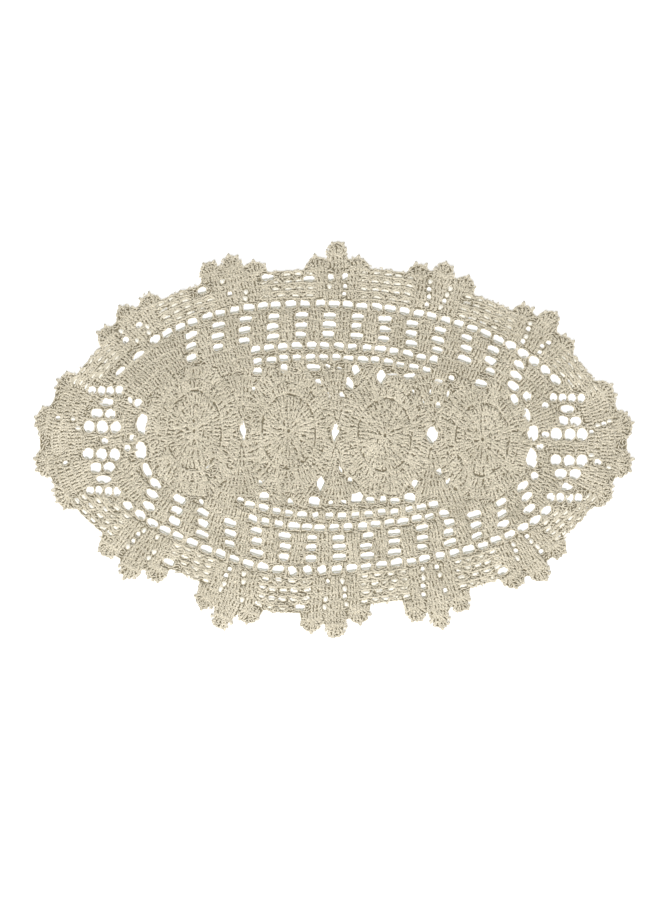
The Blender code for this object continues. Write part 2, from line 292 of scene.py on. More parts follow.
def edge_dips():
    """Places midway between the groups of petals, and how far the edge is let out there."""
    dips = []
    for index, group in enumerate(PETAL_GROUPS):
        following = PETAL_GROUPS[(index + 1) % len(PETAL_GROUPS)]
        between = (following[1] - group[1]) % SEAM_LENGTH
        dips.append(((group[1] + between / 2) % SEAM_LENGTH, group[8]))
    dips.sort()
    first, last = dips[0], dips[-1]
    dips = [(last[0] - SEAM_LENGTH, last[1])] + dips + [(first[0] + SEAM_LENGTH, first[1])]
    return np.array(dips)


EDGE_DIPS = edge_dips()


def edge_let_out(place):
    """How far the edge is let out at places, eased from one dip to the next."""
    place = place % SEAM_LENGTH
    after = np.searchsorted(EDGE_DIPS[:, 0], place, side="right").clip(1, len(EDGE_DIPS) - 1)
    start, end = EDGE_DIPS[after - 1], EDGE_DIPS[after]
    part = (place - start[..., 0]) / (end[..., 0] - start[..., 0])
    ease = (1 - np.cos(math.pi * part)) / 2
    return start[..., 1] + (end[..., 1] - start[..., 1]) * ease


def rounds(place, line):
    """Chart points at places on lines of the rounds, or between two lines."""
    place, line = np.broadcast_arrays(np.asarray(place, float), np.asarray(line, float))
    angle = np.interp(place % SEAM_LENGTH, SEAM_LENGTHS, SEAM_ANGLES)
    nx, ny = SEAM_HALF_WIDTH * np.cos(angle), SEAM_HALF_LENGTH * np.sin(angle)
    size = np.hypot(nx, ny)
    nx, ny = nx / size, ny / size
    right, left = np.interp(line, LINE_NUMBERS, AT_RIGHT), np.interp(line, LINE_NUMBERS, AT_LEFT)
    out = np.interp(line, LINE_NUMBERS, AT_SIDES) * ny * ny
    out += np.where(nx > 0, right, left) * nx * nx
    past_border = np.maximum(line - BORDER_LINE, 0) / (EDGE_LINE - BORDER_LINE)
    out += edge_let_out(place) * past_border
    x = SEAM_HALF_LENGTH * np.cos(angle) + nx * out
    y = SEAM_HALF_WIDTH * np.sin(angle) + ny * out
    return x, y


def laid(x, y):
    """Chart points as the cloth lies, in frame millimetres."""
    for _, tug_x, tug_y, reach, pull_x, pull_y in TUGS:
        pull = np.exp(-((x - tug_x) ** 2 + (y - tug_y) ** 2) / reach**2)
        x, y = x + pull_x * pull, y + pull_y * pull
    cosine, sine = math.cos(LAY_TURN), math.sin(LAY_TURN)
    turned_x, turned_y = x * cosine - y * sine, x * sine + y * cosine
    return turned_x - CHART_CENTRE[0], turned_y - CHART_CENTRE[1]


def top_loops(mesh):
    """The loops round the CAD solid's top face, in frame millimetres, the longest first."""
    points = np.empty(3 * len(mesh.vertices))
    mesh.vertices.foreach_get("co", points)
    points = np.round(points.reshape(-1, 3) / MM, 3)
    points, merged = np.unique(points, axis=0, return_inverse=True)
    mesh.calc_loop_triangles()
    corners = np.empty(3 * len(mesh.loop_triangles), np.int32)
    mesh.loop_triangles.foreach_get("vertices", corners)
    triangles = merged.reshape(-1)[corners].reshape(-1, 3)
    on_top = points[:, 2] > points[:, 2].max() - 0.1
    triangles = triangles[on_top[triangles].all(1)]
    edges = set()
    for first, second in ((0, 1), (1, 2), (2, 0)):
        edges |= set(zip(triangles[:, first].tolist(), triangles[:, second].tolist()))
    following = {start: end for start, end in edges if (end, start) not in edges}
    loops = []
    while following:
        start, at = following.popitem()
        loop = [start]
        while at != start:
            loop.append(at)
            at = following.pop(at)
        loops.append(points[loop, :2])
    return sorted(loops, key=len, reverse=True)


EDGE_LOOP, *GAP_LOOPS = top_loops(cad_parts["doily"].data)
if np.cross(EDGE_LOOP[:-1], EDGE_LOOP[1:]).sum() < 0:
    EDGE_LOOP = EDGE_LOOP[::-1]


def gap_frame(loop):
    """A gap's centre, half width and half height, found from its six corners."""
    lengths = np.linalg.norm(np.roll(loop, -1, 0) - loop, axis=1)
    pairs = lengths[:3] + lengths[3:]
    level = np.argmax(np.abs(pairs - np.median(pairs)))
    corner = np.roll(loop, -level, 0)
    half_height = (corner[0] + corner[1] - corner[3] - corner[4]) / 4
    half_width = (corner[2] - corner[5]) / 2
    return loop.mean(0), half_width, half_height


def round_corners(centre, half_width, half_height):
    """The eight corners of one of the end nets' rounder openings."""
    turns = chance.uniform(0, 0.4) + np.arange(8) * math.pi / 4
    wide, tall = chance.normal(1.1, 0.07, (8, 1)), chance.normal(1.0, 0.07, (8, 1))
    across, up = np.cos(turns)[:, None], np.sin(turns)[:, None]
    return centre + across * wide * half_width + up * tall * half_height


def opening_corners(centre, half_width, half_height, uneven):
    """The corners of an opening, each pulled a little out of true by the yarn.

    The end nets' gaps are rounded, and a tall gap is drawn to a point at both ends.
    """
    if abs(centre[0]) > ROUND_FROM and uneven > HOLE_UNEVEN:
        return round_corners(centre, half_width, half_height)
    tall_gap = np.linalg.norm(half_height) > TALL_GAP * np.linalg.norm(half_width)
    corners = []
    for aside, up in ((1, 1), (-1, 1), (-1, -1), (1, -1)):
        wide, tall = chance.normal(0.94, uneven), chance.normal(0.84, uneven)
        if tall_gap:
            aside, up = (0, up * 1.4) if aside == up else (aside * 1.3, 0)
        corners.append(centre + aside * wide * half_width + up * tall * half_height)
    return np.array(corners)


def turned_back(half_width):
    """A half height at right angles to a half width, of length one."""
    return np.array([-half_width[1], half_width[0]]) / np.linalg.norm(half_width)


def clearance_grid(openings):
    """How far the points of an even grid lie outside the nearest opening; negative inside."""
    cells = int(2 * GRID_EDGE / GRID_STEP)
    grid = np.full((cells, cells), FAR_AWAY)
    for corners in openings:
        run = np.roll(corners, -1, 0) - corners
        outward = np.stack([run[:, 1], -run[:, 0]], 1)
        outward /= np.linalg.norm(outward, axis=1)[:, None]
        if ((corners - corners.mean(0)) * outward).sum() < 0:
            outward = -outward
        low = ((corners.min(0) - 3 + GRID_EDGE) / GRID_STEP).astype(int)
        high = ((corners.max(0) + 3 + GRID_EDGE) / GRID_STEP).astype(int)
        across, up = np.meshgrid(*(np.arange(*ends) for ends in zip(low, high)), indexing="ij")
        points = np.stack([across, up], -1)[..., None, :] * GRID_STEP - GRID_EDGE
        away = ((points - corners) * outward).sum(-1).max(-1)
        window = grid[low[0] : high[0], low[1] : high[1]]
        np.minimum(window, away, out=window)
    return grid


def grid_cells(x, y):
    """The grid's cell at each frame point."""
    cells = np.round((np.stack([x, y]) + GRID_EDGE) / GRID_STEP)
    return cells.astype(int).clip(0, int(2 * GRID_EDGE / GRID_STEP) - 1)


def edge_grid():
    """Which cells of the grid lie inside the outer edge."""
    cells = int(2 * GRID_EDGE / GRID_STEP)
    centres = np.arange(cells) * GRID_STEP - GRID_EDGE
    inside = np.zeros((cells, cells), bool)
    following = np.roll(EDGE_LOOP, -1, 0)
    for row, y in enumerate(centres):
        crossed = (EDGE_LOOP[:, 1] > y) != (following[:, 1] > y)
        start, end = EDGE_LOOP[crossed], following[crossed]
        at = start[:, 0] + (y - start[:, 1]) / (end[:, 1] - start[:, 1]) * (end[:, 0] - start[:, 0])
        inside[:, row] = (centres[:, None] > at).sum(1) % 2 == 1
    return inside


GAP_CORNERS = [opening_corners(*gap_frame(loop), GAP_UNEVEN) for loop in GAP_LOOPS]
GAP_CLEARANCE = clearance_grid(GAP_CORNERS)
INSIDE_EDGE = edge_grid()


def group_stretches():
    """Where each group of petals stands along the seam, as first and last places."""
    return [(row[1] - row[3] / 2, row[1] + row[3] / 2) for row in PETAL_GROUPS]


def small_opening(place, line, size):
    """The corners of a small opening at a place and line, if it is clear of gaps and edge."""
    if chance.random() < DRAWN_CLOSED:
        return []
    place, line = place + chance.normal(0, 0.5), line + chance.normal(0, 0.05)
    centre = np.array(laid(*rounds(place, line)), float)
    after = np.array(laid(*rounds(place + 0.5, line)), float)
    along = (after - centre) / np.linalg.norm(after - centre)
    half_width = along * size[0] / 2
    half_height = turned_back(half_width) * size[1] / 2
    corners = opening_corners(centre, half_width, half_height, HOLE_UNEVEN)
    across, up = grid_cells(*corners.T)
    from_edge = np.linalg.norm(corners[:, None] - EDGE_LOOP, axis=2).min()
    if GAP_CLEARANCE[across, up].min() > 1.3 and from_edge > 2.4 and INSIDE_EDGE[across, up].all():
        return [corners]
    return []


def chain_loops():
    """Each chain loop of the border between the groups: its first and last place and line."""
    found = []
    stretches = group_stretches()
    for index, (_, last) in enumerate(stretches):
        following = stretches[(index + 1) % len(stretches)][0]
        while following < last:
            following += SEAM_LENGTH
        for line in range(BORDER_LINE, EDGE_LINE):
            places = np.linspace(last + 1, following - 1, 60)
            x, y = rounds(places, line + 0.5)
            length = np.hypot(np.diff(x), np.diff(y)).sum()
            shift = 0.5 if line % 2 else 0
            count = max(1, round(length / LOOP_LENGTH + shift))
            bounds = np.linspace(last + 1, following - 1, count + 1)
            found += [(start, end, line) for start, end in zip(bounds[:-1], bounds[1:])]
    return found


def small_gaps():
    """The corners of each small gap that is clear of the CAD solid's own gaps."""
    found = []
    for x, y, width, height, turn in SMALL_GAPS:
        angle = math.radians(turn)
        half_width = np.array([math.cos(angle), math.sin(angle)]) * width / 2
        half_height = turned_back(half_width) * height / 2
        corners = opening_corners(np.array([x, y]), half_width, half_height, SMALL_GAP_UNEVEN)
        if GAP_CLEARANCE[tuple(grid_cells(*corners.T))].min() > 1.1:
            found.append(corners)
    return found


def small_openings():
    """The small holes in columns under the petals, and those inside the chain loops."""
    found = []
    for first, last in group_stretches():
        middle = (first + last) / 2
        for side in (-1, 1):
            for line in HOLE_LINES:
                aside = HOLE_COLUMN_FOOT + HOLE_COLUMN_LEAN * (line - BORDER_LINE)
                found += small_opening(middle + side * aside, line, HOLE_SIZE)
    for start, end, line in CHAIN_LOOPS:
        x, y = rounds((start + end) / 2, np.array([line, line + 1.0]))
        row = math.hypot(x[1] - x[0], y[1] - y[0])
        size = (LOOP_OPENING[0], LOOP_OPENING[1] * (row / BORDER_ROW) ** 2)
        found += small_opening((start + end) / 2, line + 0.4, size)
    return found


CHAIN_LOOPS = chain_loops()
HOLE_CORNERS = small_openings()
SMALL_CORNERS = HOLE_CORNERS + small_gaps()
CLEARANCE = np.minimum(GAP_CLEARANCE, clearance_grid(SMALL_CORNERS))
COVERED = ~INSIDE_EDGE


def gap_clearance(x, y):
    """How far frame points lie outside the nearest opening, in millimetres."""
    across, up = grid_cells(x, y)
    return CLEARANCE[across, up]


def clear_of_gaps(x, y):
    return gap_clearance(*laid(x, y)) > GAP_MARGIN


def disc_offsets(reach):
    """The grid steps to every cell within a reach."""
    cells = int(reach / GRID_STEP) + 1
    across, up = np.meshgrid(*(np.arange(-cells, cells + 1),) * 2, indexing="ij")
    near = np.hypot(across, up) * GRID_STEP <= reach
    return across[near], up[near]


def cover(x, y, reach):
    """Marks every grid cell within a reach of frame points as covered."""
    across, up = grid_cells(np.ravel(x), np.ravel(y))
    aside, ahead = disc_offsets(reach)
    limit = len(COVERED) - 1
    for step_across, step_up in zip(aside, ahead):
        COVERED[(across + step_across).clip(0, limit), (up + step_up).clip(0, limit)] = True


def outside_medallions(x, y, grow=0.3):
    outside = np.ones(np.shape(x), bool)
    for _, centre_x, centre_y, tall in MEDALLIONS:
        across = (x - centre_x) / (RING_HALF_WIDTHS[RIM_RING] + grow)
        up = (y - centre_y) / (tall * RING_HALF_HEIGHTS[RIM_RING] + grow)
        outside &= across**2 + up**2 > 1
    return outside


def inside_line(x, y, line):
    """Which chart points lie within a line of the rounds."""
    line_x, line_y = rounds(np.linspace(0, SEAM_LENGTH, 361), line)
    angles, reaches = np.arctan2(line_y, line_x), np.hypot(line_x, line_y)
    order = np.argsort(angles)
    reach = np.interp(np.arctan2(y, x), angles[order], reaches[order], period=2 * math.pi)
    return np.hypot(x, y) < reach


def medallion_rings(centre_x, centre_y, tall):
    """The field of one medallion: points at turns round it, on its rings."""
    numbers = np.arange(len(RING_HALF_WIDTHS))

    def field(turn, ring):
        half_width = np.interp(ring, numbers, RING_HALF_WIDTHS)
        half_height = tall * np.interp(ring, numbers, RING_HALF_HEIGHTS)
        drawn = np.interp(ring, (3.5, 4.0, 5.0), (0.0, 0.6, 0.0))
        turn = turn - drawn * np.sin(SHELLS * turn) / SHELLS
        bulge = np.interp(ring, (4.0, 5.0), (0.0, 0.03)) * np.cos(SHELLS * turn)
        x = centre_x + half_width * (1 + bulge) * np.cos(turn)
        return x, centre_y + half_height * (1 + bulge) * np.sin(turn)

    return field


def fan_rings(foot_x, foot_y):
    """The field of one fan: points at turns round its foot, on its arcs."""

    def field(turn, ring):
        reach = FAN_FOOT + ROW_HEIGHT * ring
        return foot_x + reach * np.cos(turn), foot_y + reach * np.sin(turn)

    return field


def swept(paths, radius, closed=False, flat=1.0):
    """Tubes along paths of equal length, as points, four-sided faces and corner UVs."""
    count, steps, _ = paths.shape
    if closed:
        along = np.roll(paths, -1, 1) - np.roll(paths, 1, 1)
    else:
        along = np.gradient(paths, axis=1)
    along /= np.linalg.norm(along, axis=2, keepdims=True) + 1e-9
    across = np.cross(along, (0.0, 0.0, 1.0))
    across /= np.linalg.norm(across, axis=2, keepdims=True) + 1e-9
    above = np.cross(across, along)
    turns = 2 * math.pi * (np.arange(TUBE_SIDES) + 0.5) / TUBE_SIDES
    aside, upward = np.cos(turns)[:, None], flat * np.sin(turns)[:, None]
    around = aside * across[:, :, None] + upward * above[:, :, None]
    points = paths[:, :, None] + radius * around
    rings = steps if closed else steps - 1
    ring, side = np.meshgrid(np.arange(rings), np.arange(TUBE_SIDES), indexing="ij")
    ahead, beside = (ring + 1) % steps, (side + 1) % TUBE_SIDES
    corners = ((ring, side), (ring, beside), (ahead, beside), (ahead, side))
    faces = np.stack([at * TUBE_SIDES + turn for at, turn in corners], -1).reshape(-1, 4)
    lengths = np.linalg.norm(np.diff(paths, axis=1, append=paths[:, :1]), axis=2)
    lengths = np.concatenate([np.zeros((count, 1)), np.cumsum(lengths, 1)], 1)
    start, end = lengths[:, :rings, None], lengths[:, 1 : rings + 1, None]
    start, end = (np.repeat(value, TUBE_SIDES, 2) for value in (start, end))
    low = np.broadcast_to(side / TUBE_SIDES, start.shape)
    high = low + 1 / TUBE_SIDES
    uv = np.stack([start, low, start, high, end, high, end, low], -1)
    uv = uv.reshape(count, -1, 4, 2)
    if not closed:
        last = (steps - 1) * TUBE_SIDES
        caps = np.array([np.arange(TUBE_SIDES)[::-1], last + np.arange(TUBE_SIDES)])
        faces = np.concatenate([faces, caps])
        uv = np.concatenate([uv, np.zeros((count, 2, 4, 2))], 1)
    offsets = np.arange(count)[:, None, None] * steps * TUBE_SIDES
    return points.reshape(-1, 3), (faces + offsets).reshape(-1, 4), uv.reshape(-1, 2)


def wander(x, y):
    """How far hand-made rows stray sideways at chart points, in x and in y."""
    stray_x = np.sin(x / 5.3 + 1.7 * np.sin(y / 7.1)) + np.sin(y / 3.9 + x / 11.0)
    stray_y = np.sin(y / 4.7 + 1.9 * np.sin(x / 6.3)) + np.sin(x / 3.3 - y / 9.0)
    return STRAY * stray_x, STRAY * stray_y


def add_strands(
    piece, paths, radius=STRAND, closed=False, on_chart=True, reach=BARE_REACH, flat=1.0
):
    """Adds strands along paths in millimetres, on the chart or already as the cloth lies."""
    if not len(paths):
        return
    paths = np.array(paths, float)
    if on_chart:
        stray_x, stray_y = wander(paths[..., 0], paths[..., 1])
        paths[..., 0], paths[..., 1] = laid(paths[..., 0] + stray_x, paths[..., 1] + stray_y)
    cover(paths[..., 0], paths[..., 1], reach)
    PIECES.setdefault(piece, []).append(swept(paths, radius, closed, flat))


def side_of(y):
    """The half of the cloth that a point lies in."""
    return "far" if y > 0 else "near"


def at_height(points, height):
    """One path through flat points, all at one height."""
    return np.concatenate([points, np.full((len(points), 1), height)], 1)[None]


def local_paths(centre, along, offsets):
    """Paths of (ahead, aside, height) offsets about centres, with ahead along a direction."""
    across = np.stack([-along[:, 1], along[:, 0]], 1)
    flat = centre[:, None] + offsets[..., :1] * along[:, None] + offsets[..., 1:2] * across[:, None]
    height = np.broadcast_to(offsets[..., 2:], flat.shape[:2] + (1,))
    return np.concatenate([flat, height], -1)


def add_posts(piece, base, top):
    """Two strands twisted round each other up each post."""
    count = len(base)
    run = top - base
    size = np.linalg.norm(run, axis=1)[:, None]
    part = np.linspace(0, 1, POST_STEPS)[None]
    phase = chance.normal(0.6, 1.1, (count, 1))
    lift = chance.normal(0, 0.1, (count, 1))
    bend = chance.normal(0, 0.22, (count, 1)) * np.sin(math.pi * part)
    width = POST_HALF_WIDTH * chance.normal(1.0, 0.12, (count, 1))
    for strand in (0, math.pi):
        angle = phase + strand + 2 * math.pi * POST_TWIST * part
        aside = bend + width * np.sin(angle)
        height = POST_HEIGHT + lift + POST_DEPTH * np.cos(angle)
        offsets = np.stack([part * size, aside, height], -1)
        add_strands(piece, local_paths(base, run / size, offsets))


def add_wraps(piece, base, top, where, spread):
    """A slanted wrap of yarn across each post, part of the way up."""
    count = len(base)
    run = top - base
    size = np.linalg.norm(run, axis=1)[:, None]
    middle = base + run * chance.normal(where, 0.1, (count, 1))
    slant = chance.normal(0.35, spread, (count, 1))
    part = np.array([[-1.0, 0.0, 1.0]])
    ahead, aside = 1.25 * part * np.sin(slant), 1.25 * part * np.cos(slant)
    height = chance.normal(WRAP_HEIGHT, 0.1, (count, 1)) - 0.35 * part**2
    add_strands(piece, local_paths(middle, run / size, np.stack([ahead, aside, height], -1)))


def add_links(piece, centre, along):
    """The V on top of each stitch: two legs that leave one link and open into the next."""
    count = len(centre)
    centre = centre + chance.normal(0, 0.25, (count, 2))
    wide = chance.normal(1.0, 0.15, (count, 1))
    lift = LINK_HEIGHT + chance.normal(0, 0.12, (count, 1))
    ahead = np.array([[-0.55, 0.15, 0.75]]) * STITCH_PITCH
    for side in (1, -1):
        aside = side * wide * np.array([[0.1, 0.6, 0.3]])
        height = lift + np.array([[-0.35, 0.15, -0.1]])
        offsets = np.stack([ahead + 0 * wide, aside, height], -1)
        add_strands(piece, local_paths(centre, along, offsets))


def lengths_along(points):
    """How far along an open line each of its points lies."""
    return np.concatenate([[0.0], np.cumsum(np.linalg.norm(np.diff(points, axis=0), axis=1))])


def cord_strands(points, height, closed=False, wide=CORD_RADIUS):
    """Two strands twisted round a centre line of frame or chart points."""
    points = np.asarray(points, float)
    along = np.roll(points, -1, 0) - np.roll(points, 1, 0) if closed else np.gradient(points, axis=0)
    along /= np.linalg.norm(along, axis=1)[:, None] + 1e-9
    across = np.stack([-along[:, 1], along[:, 0]], 1)
    lengths = lengths_along(points)
    whole = lengths[-1]
    if closed:
        whole += np.linalg.norm(points[0] - points[-1])
    turns = max(1, round(whole / CORD_PITCH))
    angle = 2 * math.pi * turns * lengths / whole
    paths = []
    for strand in (0, math.pi):
        flat = points + wide * np.sin(angle + strand)[:, None] * across
        up = height + CORD_RADIUS * np.cos(angle + strand)
        paths.append(np.concatenate([flat, up[:, None]], 1))
    return paths


def unit_along(field, place, line, reach):
    """Points of a field with the unit direction along its line."""
    before = np.stack(field(place - reach, line), -1)
    after = np.stack(field(place + reach, line), -1)
    run = after - before
    return run / np.linalg.norm(run, axis=-1, keepdims=True)


def stitch_places(field, line, first, last, allowed, pitch):
    """Places along a row that fill each of its free stretches evenly."""
    x, y = field(np.linspace(first, last, 40), line + 0.5)
    samples = int(np.hypot(np.diff(x), np.diff(y)).sum() / 0.35) + 8
    places = np.linspace(first, last, samples)
    x, y = field(places, line + 0.5)
    lengths = np.concatenate([[0.0], np.cumsum(np.hypot(np.diff(x), np.diff(y)))])
    free = np.ones(samples, bool)
    for level in (0.25, 0.5, 0.75):
        level_x, level_y = field(places, line + level)
        free &= clear_of_gaps(level_x, level_y) & allowed(level_x, level_y)
    changes = np.flatnonzero(np.diff(np.concatenate([[0], free.astype(int), [0]])))
    found = [np.empty(0)]
    for start, end in zip(changes[::2], changes[1::2]):
        room = lengths[end - 1] - lengths[start]
        if room < 0.35 * pitch:
            continue
        count = max(1, round(room / pitch))
        wanted = lengths[start] + room * (np.arange(count) + 0.5) / count
        found.append(np.interp(wanted, lengths, places))
    return np.concatenate(found)


def whole_height(places):
    """Stitches that reach the next line."""
    return np.full(len(places), FULL_REACH)


def work_row(piece, field, line, first, last, allowed, height=whole_height, loose=LOOSE):
    """One row of stitches between a line of the field and the next."""
    places = stitch_places(field, line, first, last, allowed, STITCH_PITCH)
    if not len(places):
        return
    reach = (last - first) / 2000
    speed = np.stack(field(places + reach, line + 0.5), -1) - np.stack(field(places, line + 0.5), -1)
    millimetre = reach / np.linalg.norm(speed, axis=1)
    astray = chance.normal(0, loose, (2, len(places))) * millimetre
    early = chance.normal(0, loose / 8, (2, len(places)))
    heights = height(places)
    base = np.stack(field(places + astray[0], line - 0.02 + early[0].clip(0)), -1)
    top = np.stack(field(places + astray[1], line + heights + early[1].clip(max=0)), -1)
    linked = heights > LINKED_FROM
    wraps = WRAPS if loose == LOOSE else MEDALLION_WRAPS
    far = base[:, 1] > 0
    along = unit_along(field, places, line + 1, reach)
    centre = np.stack(field(places, line + 1), -1)
    for side, here in (("far", far), ("near", ~far)):
        name = piece if piece[-1].isdigit() or "fan" in piece else f"{piece}_{side}"
        if here.any():
            add_posts(name, base[here], top[here])
            for part in wraps:
                add_wraps(name, base[here], top[here], part, 2 * loose)
            add_links(name, centre[here & linked], along[here & linked])


def anywhere(x, y):
    return np.ones(np.shape(x), bool)


def work_rounds():
    """The mesh, the ladder and the eyelet round, row by row."""
    for line in (0, 1):
        work_row("mesh_rounds", rounds, line, 0, SEAM_LENGTH, outside_medallions)
    for line in (2, 3, 4):
        work_row("ladder_rounds", rounds, line, 0, SEAM_LENGTH, anywhere)
    work_row("eyelet_round", rounds, 5, 0, SEAM_LENGTH, anywhere)


def work_medallions():
    """Rings of stitches round each medallion's eyelet, with a raised ring and a rim."""

    def within(x, y):
        return np.where(np.abs(x) > 90, inside_line(x, y, 1.9), inside_line(x, y, 0.6))

    def ridge_height(turns):
        """Stitches that stop short of the ridge where one of its slits shows."""
        part = (turns * RIDGE_ARCS / (2 * math.pi) - 0.3) % 1
        return np.where(np.abs(part - 0.5) < SLIT_SHARE / 2, SLIT_REACH, FULL_REACH)

    for name, x, y, tall in MEDALLIONS:
        field = medallion_rings(x, y, tall)
        for ring in range(RIM_RING):
            height = ridge_height if ring == RIDGE_RING - 1 else whole_height
            work_row(name, field, ring, 0, 2 * math.pi, within, height, MEDALLION_LOOSE)
        turns = np.linspace(0, 2 * math.pi, 241)[:-1]
        eyelet = evened(np.stack(field(turns, 0.0), -1), CORD_STEP)
        add_strands(name, cord_strands(eyelet, EYELET_HEIGHT, closed=True), closed=True)
        ridge = evened(np.stack(field(turns, RIDGE_RING + 0.1), -1), CORD_STEP)
        ridge = ridge + chance.normal(0, 0.3, ridge.shape)
        strands = cord_strands(ridge, RIDGE_HEIGHT, closed=True)
        add_strands(name, strands, closed=True, reach=RIDGE_COVER)
        slits = turns[ridge_height(turns) < LINKED_FROM]
        cover(*laid(*field(slits, np.full(len(slits), RIDGE_RING - 0.08))), SLIT_BARE)
        cover(*laid(x, y), EYELET_BARE)
        add_strays(name, field)
        for shell in range(SHELLS):
            notch = 2 * math.pi * (shell + 0.5) / SHELLS
            cover(*laid(*field(np.full(8, notch), np.linspace(4.5, 5.0, 8))), SLIT_BARE)


def add_strays(piece, field):
    """Short strands that lie every way over a medallion, as its worked yarn does."""
    ring = RIM_RING * np.sqrt(chance.uniform(0.01, 1, STRAYS))
    middle = np.stack(field(chance.uniform(0, 2 * math.pi, STRAYS), ring), -1)
    away = np.abs(ring - RIDGE_RING + 0.1) > 0.22
    middle = middle[away & clear_of_gaps(middle[:, 0], middle[:, 1])]
    way = chance.uniform(0, math.pi, len(middle))
    part = np.array([[-1.0, 0.0, 1.0]])
    ahead = STRAY_LENGTH / 2 * part * chance.normal(1, 0.2, (len(middle), 1))
    aside = chance.normal(0, 0.35, (len(middle), 1)) * (1 - part**2)
    offsets = np.stack([ahead, aside, STRAY_HEIGHT - 0.3 * part**2 + 0 * ahead], -1)
    add_strands(piece, local_paths(middle, np.stack([np.cos(way), np.sin(way)], 1), offsets))


def work_fans():
    """Fans of stitches between the medallions and the mesh."""

    def allowed(x, y):
        return outside_medallions(x, y) & inside_line(x, y, 0.1) & (np.abs(x) < 112)

    for name, x, y, way in FANS:
        field = fan_rings(x, y)
        middle = math.radians(way)
        for ring in range(FAN_RINGS):
            first, last = middle - FAN_HALF_OPENING, middle + FAN_HALF_OPENING
            work_row(name, field, ring, first, last, allowed)


def add_pale_strand(points, side, on_chart, reach):
    """A flat strand that lies under an opening, coloured pale cream with painted warm bounce light.
    """
    path = at_height(points, PALE_HEIGHT)
    piece = f"pale_strands_{side}"
    add_strands(piece, path, PALE_STRAND, False, on_chart, reach, PALE_FLAT)


def work_border():
    """Solid stitches under the groups of petals, and chain loops between the groups."""
    for first, last in group_stretches():
        for line in range(BORDER_LINE, EDGE_LINE):
            work_row("border", rounds, line, first - 1, last + 1, anywhere)
    part = np.linspace(0, 1, 9)
    arch = np.sin(math.pi * part) ** 0.6
    for start, end, line in CHAIN_LOOPS:
        for bow in (0.02 + 0.06 * arch, 0.3 + 0.56 * arch):
            loop = np.stack(rounds(start + (end - start) * part, line + bow), -1)
            loop = loop + chance.normal(0, 0.24, loop.shape)
            if (gap_clearance(*laid(loop[:, 0], loop[:, 1])) > 0.2).all():
                strands = cord_strands(loop, BORDER_HEIGHT, wide=BORDER_CORD_WIDTH)
                piece = f"border_{side_of(loop[4, 1])}"
                add_strands(piece, strands, BORDER_STRAND, reach=BORDER_COVER)
        # A flat strand under the loop's opening, coloured with painted bounce light
        lens = np.stack(rounds(start + (end - start) * np.linspace(0.25, 0.75, 4), line + 0.43), -1)
        lens = lens + chance.normal(0, 0.15, lens.shape)
        if GAP_CLEARANCE[tuple(grid_cells(*laid(*lens.T)))].min() > 1.2:
            add_pale_strand(lens, side_of(lens[0, 1]), True, LENS_COVER)


def chaikin(points, times):
    """A closed line with its corners cut, so that it runs smooth."""
    for _ in range(times):
        following = np.roll(points, -1, 0)
        points = np.stack([0.75 * points + 0.25 * following, 0.25 * points + 0.75 * following], 1)
        points = points.reshape(-1, 2)
    return points


def grown(loop, grow):
    """A closed loop of frame points moved outward all round."""
    run = np.roll(loop, -1, 0) - np.roll(loop, 1, 0)
    out = np.stack([run[:, 1], -run[:, 0]], 1)
    out /= np.linalg.norm(out, axis=1)[:, None]
    following = np.roll(loop, -1, 0)
    if (loop[:, 0] * following[:, 1] - loop[:, 1] * following[:, 0]).sum() < 0:
        out = -out
    return loop + out * grow


def add_shaded_strand(corners, side, radius):
    """A low strand under the near side of a gap, coloured darker with painted shade where the rim
    would keep it from the light.
    """
    lowest = np.argsort(corners[:, 1])[:2]
    start, end = corners[lowest[np.argsort(corners[lowest, 0])]]
    part = np.linspace(0.02, 0.98, 7)[:, None]
    middle = (start + end) / 2
    inward = (corners.mean(0) - middle) / np.linalg.norm(corners.mean(0) - middle)
    under = start + (end - start) * part + inward * radius * 1.2
    under = under + chance.normal(0, 0.15, under.shape)
    path = at_height(under, 0.2 + radius / 2)
    add_strands(f"shaded_strands_{side}", path, radius, on_chart=False)


def work_gap_rims():
    """Strands round every gap, low in the cloth, and those that show under the openings: darker ones
    coloured with painted shade and pale ones with painted bounce light.
    """
    for corners in GAP_CORNERS:
        side = side_of(corners[:, 1].mean())
        rim = evened(grown(corners, RIM_GROW), RIM_STEP)
        rim = evened(rim + chance.normal(0, RIM_UNEVEN, rim.shape), RIM_CORD_STEP)
        strands = cord_strands(rim, RIM_HEIGHT, True, wide=RIM_CORD_WIDTH)
        add_strands(f"gap_rims_{side}", strands, RIM_STRAND, True, False, RIM_COVER)
        add_shaded_strand(corners, side, SHADED_STRAND)
    for corners in SMALL_CORNERS:
        side = side_of(corners[:, 1].mean())
        rim = evened(grown(chaikin(corners, 1), SMALL_RIM_GROW), SMALL_RIM_STEP)
        path = at_height(rim + chance.normal(0, 0.2, rim.shape), RIM_HEIGHT)
        add_strands(f"gap_rims_{side}", path, SMALL_RIM_STRAND, True, False, SMALL_RIM_COVER)
        if np.ptp(corners[:, 1]) > SHADED_FROM:
            add_shaded_strand(corners, side, SMALL_SHADED_STRAND)
    # Part of the holes get a flat strand beneath, coloured with painted bounce light
    for corners in HOLE_CORNERS:
        wide, tall = np.linalg.norm(corners[:2] - corners[1:3], axis=1)
        if wide < 1.5 * tall and chance.random() < HOLES_BACKED:
            top, foot = corners[:2].mean(0), corners[2:].mean(0)
            below = foot + (top - foot) * np.linspace(-0.1, 1.1, 3)[:, None]
            add_pale_strand(below, side_of(corners[:, 1].mean()), False, BARE_REACH)


